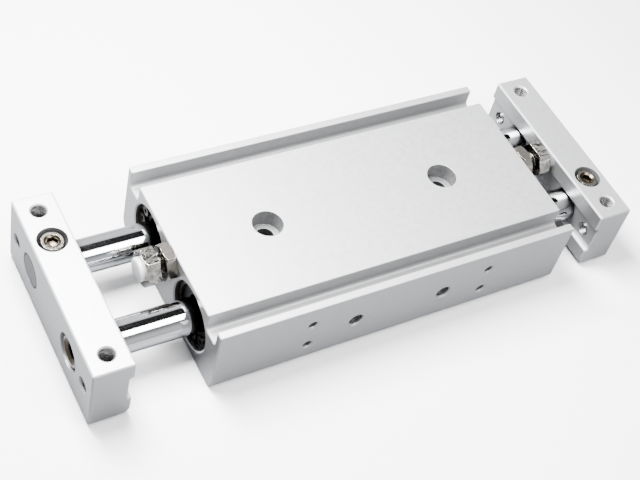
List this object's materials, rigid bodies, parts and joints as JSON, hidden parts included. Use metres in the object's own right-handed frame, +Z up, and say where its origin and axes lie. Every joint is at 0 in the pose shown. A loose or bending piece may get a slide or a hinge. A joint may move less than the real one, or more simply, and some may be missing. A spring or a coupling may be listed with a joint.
{
  "type": "twin-rod cylinder",
  "caption": "Flat aluminium air cylinder with two through rods side by side, an end plate across each pair of rod ends and adjustable stop screws.",
  "frame": {"origin": "middle of the block's underside, halfway between its end faces and between the two rods", "axes": "+X along the rods, towards the plate that rests on its stop; +Y across the rods, away from the air ports; +Z up, out of the face with the switch slots and screw counterbores"},
  "size_m": [0.1721, 0.062, 0.0242],
  "materials": {
    "anodised_aluminium": "clear anodised, fine satin",
    "bearing_alloy": "turned bearing alloy",
    "nitrile_rubber": "moulded black rubber",
    "retainer_steel": "blanked steel, dark",
    "spring_steel": "phosphated spring steel",
    "plated_steel": "nickel-plated steel",
    "hard_chrome": "ground and hard-chrome plated",
    "piston_aluminium": "turned aluminium",
    "bonded_magnet": "rubber-bonded magnet",
    "urethane": "cast urethane"
  },
  "bodies": {
    "block": {"housing": "anodised_aluminium", "rear_left_cover": "bearing_alloy", "rear_right_cover": "bearing_alloy", "front_left_cover": "bearing_alloy", "front_right_cover": "bearing_alloy", "rod_seals": "nitrile_rubber", "cover_o_rings": "nitrile_rubber", "seal_retainers": "retainer_steel", "retaining_rings": "spring_steel", "lock_nuts": "plated_steel"},
    "carriage": {"left_plate": "anodised_aluminium", "right_plate": "anodised_aluminium", "cross_screws": "plated_steel", "rod_end_screws": "plated_steel", "piston_clips": "spring_steel", "rear_piston_rod": "hard_chrome", "rear_piston": "piston_aluminium", "rear_piston_seal": "nitrile_rubber", "rear_magnet_ring": "bonded_magnet", "rear_piston_gasket": "nitrile_rubber", "front_piston_rod": "hard_chrome", "front_piston": "piston_aluminium", "front_piston_seal": "nitrile_rubber", "front_magnet_ring": "bonded_magnet", "front_piston_gasket": "nitrile_rubber"},
    "left_stop": {"left_stop_screw": "plated_steel", "left_bumper": "urethane"},
    "right_stop": {"right_stop_screw": "plated_steel", "right_bumper": "urethane"}
  },
  "joints": [
    {"name": "carriage_slide", "type": "slide", "parent": "block", "child": "carriage", "axis": [1, 0, 0], "range_m": [0, 0.012]},
    {"name": "left_stop_adjust", "type": "slide", "parent": "block", "child": "left_stop", "axis": [1, 0, 0], "range_m": [0, 0.0015]},
    {"name": "right_stop_adjust", "type": "slide", "parent": "block", "child": "right_stop", "axis": [-1, 0, 0], "range_m": [0, 0.0025]}
  ]
}
